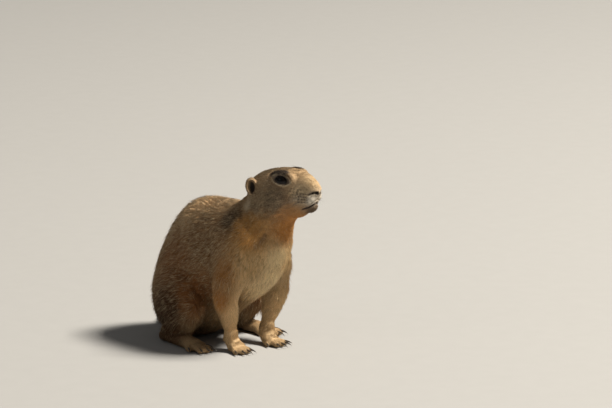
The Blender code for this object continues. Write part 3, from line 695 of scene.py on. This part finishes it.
skin = mesh_object("skin", points, triangles)
colour_attribute(skin.data, "colour_and_painted_light", colour_and_painted_light(points)[0])
hide, tree = plain_material("hide", Roughness=0.75, Specular_IOR_Level=0.25)
downy(tree, 1400.0, 0.5, 0.0003)
skin.data.materials.append(hide)
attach(skin, body)
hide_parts(*flesh)

# The coat: tufts of hair that grow from the skin, thin and closed, lying along it like thatch. Each has a
# dark root, the colour of its place, and on the back a pale band and a dark tip. They are longest on tail and
# trunk, shortest on muzzle, ears and toes, and none grow at the eyes, the lips and the soles.
from_muzzle = away(points, on_head(20, 0, 0))
hair_length = np.interp(
    from_muzzle, [0.01, 0.022, 0.036, 0.05, 0.08], [0.0014, 0.0021, 0.0034, 0.0052, 0.0086]
)
leg = np.interp(points[:, 2], [0.006, 0.02, 0.045, 0.075], [0.0022, 0.0032, 0.0056, 0.0086])
foreleg_points = np.zeros(len(points), bool)
foreleg_points[triangles[region == "forelegs"]] = True
hair_length = np.where(foreleg_points, np.minimum(hair_length, leg), hair_length)
hair_length = np.minimum.reduce([hair_length, 0.009 - 0.0067 * near_feet(points), 0.009 - 0.0076 * ears])
from_tail = np.min([away(points, along_tail(share)) for share in (0.3, 0.5, 0.7)], axis=0)
hair_length += 0.002 * fade(0.009, 0.014, from_tail)
hair_length *= 0.42 + 0.58 * smooth_step(0.004, 0.013, away(points, along_tail(1.0)))
for _ in range(10):
    hair_length += 0.7 * (neighbour_mean(hair_length, web) - hair_length)

bare = np.maximum.reduce([
    *(fade(1.02, 1.12, from_eye(points, side)[0]) for side in (-1, 1)),
    fade(0.0003, 0.0008, from_mouth(points)),
    fade(0.0008, 0.0014, from_nostril(points)),
    fade(0.85, 1.1, from_slit(points)),
    fade(0.0006, 0.0012, points[:, 2]),
])


def unwrapped(name, chosen):
    """Texture places of part of the skin on an unwrap of its own shape: the part is laid flat and read."""
    used, local = np.unique(triangles[chosen], return_inverse=True)
    flat = mesh_object(name + "_flat", points[used], local.reshape(-1, 3))
    bpy.ops.object.select_all(action="DESELECT")
    flat.select_set(True)
    bpy.context.view_layer.objects.active = flat
    bpy.ops.object.mode_set(mode="EDIT")
    bpy.ops.mesh.select_all(action="SELECT")
    bpy.ops.uv.smart_project(angle_limit=math.radians(66), island_margin=0.004)
    bpy.ops.object.mode_set(mode="OBJECT")
    places = np.empty(len(flat.data.loops) * 2)
    flat.data.uv_layers[0].data.foreach_get("uv", places)
    bpy.data.objects.remove(flat)
    return places.reshape(-1, 3, 2)


def grow_coat(name, regions, count, jointed, lift, width, share_of_length=1.0):
    """Tufts at random places of the skin, more where it is short. A tuft is a thin three-sided spike along
    the lie, raised from the skin by its lift and, where it is jointed, bent back towards it half way."""
    chosen = np.flatnonzero(np.isin(region, regions))
    corners = triangles[chosen]
    a, b, c = (points[corners[:, corner]] for corner in range(3))
    area = np.linalg.norm(np.cross(b - a, c - a), axis=1)
    weight = area * ((1 - bare) / hair_length**0.8)[corners].mean(1)
    pick = draw.choice(len(chosen), count, p=weight / weight.sum())
    u, v = draw.random((2, count))
    over = u + v > 1
    u, v = np.where(over, 1 - u, u), np.where(over, 1 - v, v)
    share = np.stack((1 - u - v, u, v), 1)[:, :, None]
    root = (points[corners[pick]] * share).sum(1)
    up = unit((normals[corners[pick]] * share).sum(1))
    along = (lie[corners[pick]] * share).sum(1)
    reach = (hair_length[corners[pick]] * share[:, :, 0]).sum(1) * share_of_length
    reach = reach * np.exp(draw.normal(0, 0.16, count))
    slow, quick = drift(root, 0.03), drift(root, 0.007)
    sway = 0.14 * slow[:, 0] + 0.13 * quick[:, 0] + draw.normal(0, 0.13, count)
    along = unit(along - (along * up).sum(1, keepdims=True) * up)
    across = np.cross(up, along)
    along, across = (
        np.cos(sway)[:, None] * along + np.sin(sway)[:, None] * across,
        np.cos(sway)[:, None] * across - np.sin(sway)[:, None] * along,
    )
    angle = np.radians(lift) * (1 + 0.25 * quick[:, 1] + draw.normal(0, 0.2, count))
    half = (0.5 * (0.0001 + width * reach) * np.exp(draw.normal(0, 0.15, count)))[:, None]
    ring = [half * math.cos(a) * across + 0.45 * half * math.sin(a) * up for a in np.radians([90, 210, 330])]
    base = root - 0.00025 * up
    rise = np.cos(angle)[:, None] * along + np.sin(angle)[:, None] * up
    if jointed:
        middle = base + 0.48 * reach[:, None] * rise
        fall = np.cos(0.25 * angle)[:, None] * along + np.sin(0.25 * angle)[:, None] * up
        rows = [base + part for part in ring] + [middle + 0.85 * part for part in ring]
        rows.append(middle + 0.52 * reach[:, None] * fall)
        shape = [(0, 2, 1), (0, 1, 4), (0, 4, 3), (1, 2, 5), (1, 5, 4), (2, 0, 3), (2, 3, 5)]
        shape += [(3, 4, 6), (4, 5, 6), (5, 3, 6)]
        height = np.array([0, 0, 0, 0.48, 0.48, 0.48, 1])
        beside = np.cos(np.array([1.5, 3.5, 5.5, 1.5, 3.5, 5.5, 0]) * 1.047)
    else:
        rows = [base + part for part in ring] + [base + reach[:, None] * rise]
        shape = [(0, 2, 1), (0, 1, 3), (1, 2, 3), (2, 0, 3)]
        height, beside = np.array([0, 0, 0, 1]), np.array([0, -1, 1, 0])
    cloud = np.stack(rows, 1)
    cloud[:, :, 2] = np.maximum(cloud[:, :, 2], 0.00015)
    size = len(rows)
    faces = (np.arange(count)[:, None, None] * size + np.array(shape)).reshape(-1, 3)
    coat = mesh_object(name, cloud.reshape(-1, 3), faces)
    colour, ticking = colour_and_painted_light(root)
    colour = colour * np.exp(draw.normal(0, 0.1, count) + 0.07 * slow[:, 2] + 0.06 * quick[:, 2])[:, None]
    luck = draw.random(count)
    dark = (luck < 0.55 * ticking) * draw.uniform(0.5, 1.0, count)
    pale = (luck > 1 - 0.75 * ticking) * draw.uniform(0.4, 1.0, count)
    colour_attribute(coat.data, "colour_and_painted_light", np.repeat(np.clip(colour, 0.003, 1), size, 0))
    float_attribute(coat.data, "along", np.tile(height, count))
    float_attribute(coat.data, "dark_tip", np.repeat(dark, size))
    float_attribute(coat.data, "pale_band", np.repeat(pale, size))
    spot = (unwrapped(name, chosen)[pick] * share).sum(1)
    patch = np.stack((0.5 * beside, height - 0.5), 1)[np.array(shape).ravel()]
    place = np.clip(np.clip(spot, 0.002, 0.998)[:, None] + 0.003 * patch, 0, 1)
    coat.data.uv_layers.new(name="OFBake").data.foreach_set("uv", place.astype(np.float32).ravel())
    coat.data.materials.append(hair)
    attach(coat, body)


# A banded hair, which all tufts share: dark at the root, the colour of its place along it, and where it is
# grizzled a pale band below a dark tip.
banding, inside = shader_group(
    "banded hair", {"Colour": "Color", "Along": "Float", "Dark Tip": "Float", "Pale Band": "Float"},
    {"Colour": "Color"},
)


def along_hair(start, end, low=0.0, high=1.0):
    """A value that goes from low to high between two shares of the hair's length."""
    inputs = {"Value": inside["Along"], "From Min": start, "From Max": end, "To Min": low, "To Max": high}
    return node(banding, "MapRange", inputs).outputs["Result"]


def product(first, second):
    """The product of two values."""
    return node(banding, "Math", {0: first, 1: second}, operation="MULTIPLY").outputs["Value"]


rooted = mixed(banding, 1.0, inside["Colour"], along_hair(0.0, 0.5, 0.62, 1.08), "MULTIPLY")
band = product(product(along_hair(0.36, 0.5), along_hair(0.72, 0.86, 1.0, 0.25)), inside["Pale Band"])
tip = product(along_hair(0.62, 0.85), inside["Dark Tip"])
banded = mixed(banding, band, rooted, (0.68, 0.54, 0.35, 1))
finish_group(banding, Colour=mixed(banding, tip, banded, (0.05, 0.034, 0.024, 1)))

hair, tree = plain_material("hair", Roughness=0.65, Specular_IOR_Level=0.15)
banded_hair = node(tree, "Group", {
    "Colour": reading(tree, "colour_and_painted_light", "Color"), "Along": reading(tree, "along"),
    "Dark Tip": reading(tree, "dark_tip"), "Pale Band": reading(tree, "pale_band"),
}, node_tree=banding)
join_shader(tree, banded_hair.outputs["Colour"])

# Guard hairs of the trunk: banded tufts about 9 mm long, in one piece for each broad part, over a denser coat
# of shorter and thinner straight hairs.
for name, regions, guards, fibres in (
    ("back", ["back", "neck"], 8200, 22000),
    ("rump", ["rump", "tail"], 7800, 19500),
    ("chest", ["chest"], 8200, 23000),
    ("flank_left", ["flank_left"], 4700, 13000),
    ("flank_right", ["flank_right"], 4700, 13000),
    ("haunch_left", ["haunch_left"], 5700, 14800),
    ("haunch_right", ["haunch_right"], 5700, 14800),
):
    grow_coat(f"coat_{name}", regions, guards, True, 19, 0.028)
    grow_coat(f"coat_{name}_under", regions, fibres, False, 14, 0.027, 0.85)

# Short hair of the head and the limbs: straight spikes, 1.5 to 5 mm long, that lie close. On the head a few
# longer jointed tufts stand among them.
grow_coat("coat_head", ["head"], 8000, True, 17, 0.05)
grow_coat("coat_face", ["head"], 47500, False, 14, 0.052, 0.85)
grow_coat("coat_forelegs", ["forelegs"], 37500, False, 15, 0.042)
grow_coat("coat_feet", ["feet"], 36000, False, 15, 0.065)

# Eyes: glossy balls of near black brown, 11.2 mm across, with a cornea that stands a little proud. Only a
# thin warm ring of iris shows round the wide pupil.
rows, columns = 60, 96
cornea_height, cornea_angle = 0.035, 0.62


def tube_faces(rows, columns, start=0):
    """Triangles of a closed tube whose points come row by row, with its two end points after them."""
    grid = start + np.arange(rows * columns).reshape(rows, columns)
    turned = np.roll(grid, -1, 1)
    ends = np.full((2, columns), start + rows * columns) + [[0], [1]]
    return np.concatenate([np.stack(three, -1).reshape(-1, 3) for three in (
        (grid[:-1], turned[:-1], turned[1:]), (grid[:-1], turned[1:], grid[1:]),
        (turned[0], grid[0], ends[0]), (grid[-1], turned[-1], ends[1]),
    )])


for side, label in ((1, "left"), (-1, "right")):
    centre, outward, forward, upright = eye_axes(side)
    turn, angle = np.meshgrid(
        np.linspace(0, 2 * math.pi, columns, endpoint=False), np.linspace(0, math.pi, rows + 2)[1:-1]
    )
    radius = eyeball_radius * (1 + cornea_height * np.exp(-((angle / cornea_angle) ** 2)))
    ball = (
        np.cos(angle)[..., None] * outward
        + np.sin(angle)[..., None] * (np.cos(turn)[..., None] * forward + np.sin(turn)[..., None] * upright)
    ) * radius[..., None]
    poles = np.stack((outward * eyeball_radius * (1 + cornea_height), -outward * eyeball_radius))
    faces = tube_faces(rows, columns)
    if side == -1:
        faces = faces[:, ::-1]
    eye = mesh_object(f"eyeball_{label}", centre + np.concatenate((ball.reshape(-1, 3), poles)), faces)
    float_attribute(eye.data, "from_axis", np.concatenate((angle.ravel(), (0, math.pi))))
    glossy, tree = plain_material(
        f"eye_{label}_gloss", Roughness=0.12, Specular_IOR_Level=0.12, Coat_Weight=0.18, Coat_Roughness=0.03
    )
    rays = node(tree, "TexNoise", {"Scale": 900.0, "Detail": 3.0})
    ramp = node(tree, "ValToRGB", {"Fac": reading(tree, "from_axis")})
    rings = ramp.color_ramp.elements
    rings.new(0.62)
    for ring, position, colour in zip(rings, (0.4, 0.62, 0.95), (
        (0.0025, 0.002, 0.002, 1), (0.012, 0.0065, 0.0035, 1), (0.005, 0.0035, 0.003, 1)
    )):
        ring.position, ring.color = position, colour
    join_shader(tree, mixed(tree, 0.5, ramp.outputs["Color"], rays.outputs["Fac"], "MULTIPLY"))
    eye.data.materials.append(glossy)
    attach(eye, body)
    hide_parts(f"eye_{label}")

# Lids: a dark, moist margin of skin that lies on the eyeball, thickened into a rounded roll with a fold
# behind it, fused round the eye and drawn out a little at both corners.
rows, step = 72, np.array([0, 0.05, 0.13, 0.24, 0.38, 0.52, 0.66, 0.82, 1.0, 1.0, 0.6, 0.15])
roll = np.array([-0.2, 0.22, 0.4, 0.47, 0.49, 0.48, 0.45, 0.34, 0.0, -0.7, -0.9, -0.6]) / 1000
half_length, half_height, length_growth, height_growth = 0.005, 0.0032, 0.0028, 0.0012
for side, label in ((1, "left"), (-1, "right")):
    centre, outward, forward, upright = eye_axes(side)
    turn = np.linspace(0, 2 * math.pi, rows, endpoint=False)[:, None]
    across = np.sign(np.cos(turn)) * np.abs(np.cos(turn)) ** (2 / 1.8)
    high = np.sign(np.sin(turn)) * np.abs(np.sin(turn)) ** (2 / 1.8)
    along_eye = across * (half_length + length_growth * step)
    up_eye = high * (half_height + height_growth * step)
    flat_forward = along_eye * math.cos(slant) + up_eye * math.sin(slant)
    flat_up = up_eye * math.cos(slant) - along_eye * math.sin(slant)
    on_ball = np.sqrt(np.maximum(eyeball_radius**2 - flat_forward**2 - flat_up**2, eyeball_edge**2))
    near = (away(points, centre) < 0.012) & (from_eye(points, side)[0] > 1.02)
    offset = points[near & ((points - centre) @ outward > 0)] - centre
    gaps = (flat_forward.reshape(-1, 1) - offset @ forward) ** 2
    gaps += (flat_up.reshape(-1, 1) - offset @ upright) ** 2
    on_flesh = (offset @ outward)[gaps.argmin(1)].reshape(rows, -1)
    for _ in range(8):
        on_flesh = (np.roll(on_flesh, 1, 0) + on_flesh + np.roll(on_flesh, -1, 0)) / 3
    share = smooth_step(0.25, 0.95, step)
    height = (1 - share) * on_ball + share * on_flesh + roll * (1 + 0.3 * np.clip(high, 0, 1))
    shell = centre + flat_forward[..., None] * forward + flat_up[..., None] * upright
    shell = shell + height[..., None] * outward
    grid = np.arange(height.size).reshape(rows, -1)
    inwards = np.roll(grid, -1, 1)
    quads = np.stack((grid, inwards, np.roll(inwards, -1, 0), np.roll(grid, -1, 0)), 2).reshape(-1, 4)
    if side == 1:
        quads = quads[:, ::-1]
    lids = mesh_object(f"lids_{label}", shell.reshape(-1, 3), quads)
    rim = np.tile(fade(0.24, 0.5, step), rows)[:, None]
    rim_colour = rim * np.array((0.016, 0.012, 0.011)) + (1 - rim) * np.array((0.19, 0.135, 0.088))
    colour_attribute(lids.data, "colour_and_painted_light", rim_colour)
    finish = lids.modifiers.new("finish", "SUBSURF")
    finish.levels = finish.render_levels = 1
    moist, tree = plain_material(f"lid_{label}_skin", Roughness=0.42, Specular_IOR_Level=0.4)
    downy(tree, 2600.0, 0.35, 0.0001)
    lids.data.materials.append(moist)
    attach(lids, body)

# Claws: dark horn, five to a foot, each a curved, tapered blade that grows out of its toe and bends down to
# the ground. Fine ridges run along the horn, drawn by a grain that whiskers and floor share.
grain, inside = shader_group(
    "grain", {"Dark": "Color", "Light": "Color", "Scale": "Float", "Detail": "Float", "Stretch": "Vector"},
    {"Colour": "Color", "Height": "Float"},
)
place = node(grain, "TexCoord").outputs["Object"]
stretched = node(grain, "Mapping", {"Vector": place, "Scale": inside["Stretch"]}).outputs["Vector"]
specks = node(grain, "TexNoise", {
    "Vector": stretched, "Scale": inside["Scale"], "Detail": inside["Detail"],
}).outputs["Fac"]
finish_group(grain, Colour=mixed(grain, specks, inside["Dark"], inside["Light"]), Height=specks)


def grained(tree, dark, light, scale, detail, stretch=(1, 1, 1)):
    """Adds the grain to a material, between a dark and a light colour, and gives its outputs."""
    inputs = {"Dark": (*dark, 1), "Light": (*light, 1), "Scale": scale, "Detail": detail, "Stretch": stretch}
    return node(tree, "Group", inputs, node_tree=grain).outputs


horn, tree = plain_material("horn", Roughness=0.36, Specular_IOR_Level=0.5)
ridges = grained(tree, (0.018, 0.014, 0.012), (0.085, 0.066, 0.05), 1500.0, 3.0, (3.0, 0.35, 1.5))
join_shader(tree, ridges["Colour"], ridges["Height"], 0.3, 0.0001)
rows, columns = 12, 10
half_width, half_thickness, tip_height = 0.00085, 0.00105, 0.0005
upwards = np.array((0, 0, 1))
toes = {
    "forepaw": (0.005, 4, 0.0058, (
        ("thumb", -34, 0.0072, 0.0018, 0.0025), ("second", -15, 0.0118, 0.0023, 0),
        ("third", -3, 0.0132, 0.0024, 0), ("fourth", 10, 0.0126, 0.0023, 0),
        ("fifth", 25, 0.0106, 0.0021, 0.0012),
    )),
    "hind_foot": (0.009, 5, 0.0052, (
        ("first", -26, 0.0125, 0.0023, 0.0045), ("second", -11, 0.0185, 0.0025, 0),
        ("third", 1, 0.02, 0.0026, 0), ("fourth", 13, 0.0185, 0.0025, 0),
        ("fifth", 28, 0.014, 0.0023, 0.005),
    )),
}
for foot, (advance, turned, length, digits) in toes.items():
    for side, label in ((1, "left"), (-1, "right")):
        splay = math.radians(turned)
        onward = np.array((side * math.sin(splay), -math.cos(splay), 0))
        sideways = np.array((side * math.cos(splay), math.sin(splay), 0))
        knuckle = paw_middle(side) if foot == "forepaw" else on_body(side * 39.5, -4, 0)
        clouds, claw_faces = [], []
        for _, degrees, reach, radius, back in digits:
            angle = math.radians(degrees)
            direction = math.cos(angle) * onward + math.sin(angle) * sideways
            end = knuckle + advance * onward - back * onward + math.sin(angle) * 0.01 * sideways
            end = end + direction * reach
            long = length * (0.62 if reach < 0.0085 else 1.0)
            t = np.linspace(0, 1, rows)[:, None, None]
            along = (-1.2 * radius + (long + 1.2 * radius) * t) * np.ones((1, columns, 1))
            high = tip_height + (1.5 * radius - tip_height) * np.sqrt(np.clip(1 - t**2.2, 0, 1))
            taper = (1 - t**1.6) ** 0.75 * 0.92 + 0.03
            around = np.linspace(0, 2 * math.pi, columns, endpoint=False)[None, :, None]
            cloud = (
                end * (1, 1, 0) + along * direction
                + half_width * taper * np.cos(around) * np.cross(direction, upwards)
                + (high + half_thickness * taper * np.sin(around)) * upwards
            )
            cloud[..., 2] = np.maximum(cloud[..., 2], 0.0001)
            claw_faces.append(tube_faces(rows, columns, sum(map(len, clouds)))[:, ::-1])
            clouds.append(np.concatenate((cloud.reshape(-1, 3), cloud[[0, -1]].mean(1))))
        claws = mesh_object(f"claws_{foot}_{label}", np.concatenate(clouds), np.concatenate(claw_faces))
        claws.data.materials.append(horn)
        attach(claws, body)
        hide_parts(*(f"claw_{foot}_{digit[0]}_{label}" for digit in digits))

# Whiskers: stiff black hairs in rows on the sides of the muzzle, with two over each eye and one on each
# cheek. Each is a tapered tube that bends back and down from its root.
rows, columns = 9, 5
muzzle_length, added_length, lone_length, root_thickness = 0.013, 0.0036, 0.009, 0.00009
strands, strand_faces = [], []
for side in (-1, 1):
    roots = [
        (root[side], muzzle_length + added_length * (number % 4))
        for number, root in enumerate(whisker_roots)
    ]
    lone_hairs = ((29, 10.5, 19), (31, 12, 18.5), (36, 20.5, -10))
    roots += [(on_skin([place], side)[0], lone_length) for place in lone_hairs]
    for place, length in roots:
        nearest = np.argmin(((points - place) ** 2).sum(1))
        root, normal = points[nearest], normals[nearest]
        over_eye = (root - nose) @ above > 0.01
        out, rearward, rise = (0.45, 1.1, -0.05) if over_eye else (0.9, 0.35, -0.12)
        aim = out * side * aside + 0.35 * normal - rearward * ahead + rise * above
        aim = unit(aim + draw.normal(0, 0.1, 3))
        length = length * draw.uniform(0.8, 1.15)
        t = np.linspace(0, 1, rows)[:, None, None]
        path = root + length * t * aim + length * t**2 * (-0.22 * ahead - 0.16 * above)
        across = unit(np.cross(aim, above))
        around = np.linspace(0, 2 * math.pi, columns, endpoint=False)[None, :, None]
        thickness = root_thickness * (1 - 0.85 * t)
        tube = path + thickness * (np.cos(around) * across + np.sin(around) * np.cross(across, aim))
        strand_faces.append(tube_faces(rows, columns, sum(map(len, strands)))[:, ::-1])
        strands.append(np.concatenate((tube.reshape(-1, 3), tube[[0, -1]].mean(1))))
whiskers = mesh_object("whiskers", np.concatenate(strands), np.concatenate(strand_faces))
bristle, tree = plain_material("bristle", Roughness=0.4)
join_shader(tree, grained(tree, (0.012, 0.01, 0.009), (0.05, 0.04, 0.034), 800.0, 2.0)["Colour"])
whiskers.data.materials.append(bristle)
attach(whiskers, body)

# Floor, light and camera: a plain pale floor, one broad lamp high on the right, a weak fill on the left, and
# the photograph's view of the animal's right front.
ground = np.array(((-20, -20, 0), (20, -20, 0), (20, 20, 0), (-20, 20, 0)))
floor = mesh_object("floor", ground, np.array([[0, 1, 2, 3]]))
pale, tree = plain_material("pale_floor", Roughness=0.9)
join_shader(tree, grained(tree, (0.355, 0.355, 0.352), (0.375, 0.375, 0.372), 60.0, 4.0)["Colour"])
floor.data.materials.append(pale)

azimuth, elevation, distance = math.radians(-45), math.radians(12), 3.0
metres_per_pixel, picture_width, origin_left, origin_below = 0.00086, 612, 306 - 218, 338.5 - 204
right = np.array((math.cos(azimuth), math.sin(azimuth), 0))
level_back = np.array((math.sin(azimuth), -math.cos(azimuth), 0))
back = math.cos(elevation) * level_back + math.sin(elevation) * upwards
up = np.cross(back, right)
target = set_back + right * origin_left * metres_per_pixel + up * origin_below * metres_per_pixel


def placed(item, right, up, back, place):
    """Puts an object in the scene at a place, with its right, up and back turned these ways."""
    bpy.context.scene.collection.objects.link(item)
    matrix = np.eye(4)
    matrix[:3] = np.stack((right, up, back, place), 1)
    item.matrix_world = Matrix(matrix)


view = bpy.data.objects.new("camera", bpy.data.cameras.new("camera"))
placed(view, right, up, back, target + distance * back)
view.data.sensor_width = 36
view.data.lens = distance / metres_per_pixel * view.data.sensor_width / picture_width
view.data.clip_end = 100
bpy.context.scene.camera = view


def lamp(name, towards, distance, size, watts, colour):
    """A square area lamp at a distance in a direction from the animal, facing it."""
    z = unit(towards)
    x = unit(np.cross(upwards, z))
    made = bpy.data.objects.new(name, bpy.data.lights.new(name, "AREA"))
    placed(made, x, np.cross(z, x), z, 0.09 * upwards + distance * z)
    made.data.size, made.data.energy, made.data.color = size, watts, colour


lamp("key", 0.72 * right + 0.04 * back + (0, 0, 0.95), 6.0, 1.3, 800, (1.0, 0.93, 0.82))
lamp("fill", -0.8 * right + 0.7 * back + (0, 0, 0.45), 5.0, 3.0, 14, (1.0, 0.97, 0.94))
bpy.context.scene.view_settings.view_transform = "Standard"
world = bpy.data.worlds.new("studio")
bpy.context.scene.world = world
world.use_nodes = True
world.node_tree.nodes["Background"].inputs["Color"].default_value = (0.82, 0.79, 0.75, 1)
world.node_tree.nodes["Background"].inputs["Strength"].default_value = 0.15
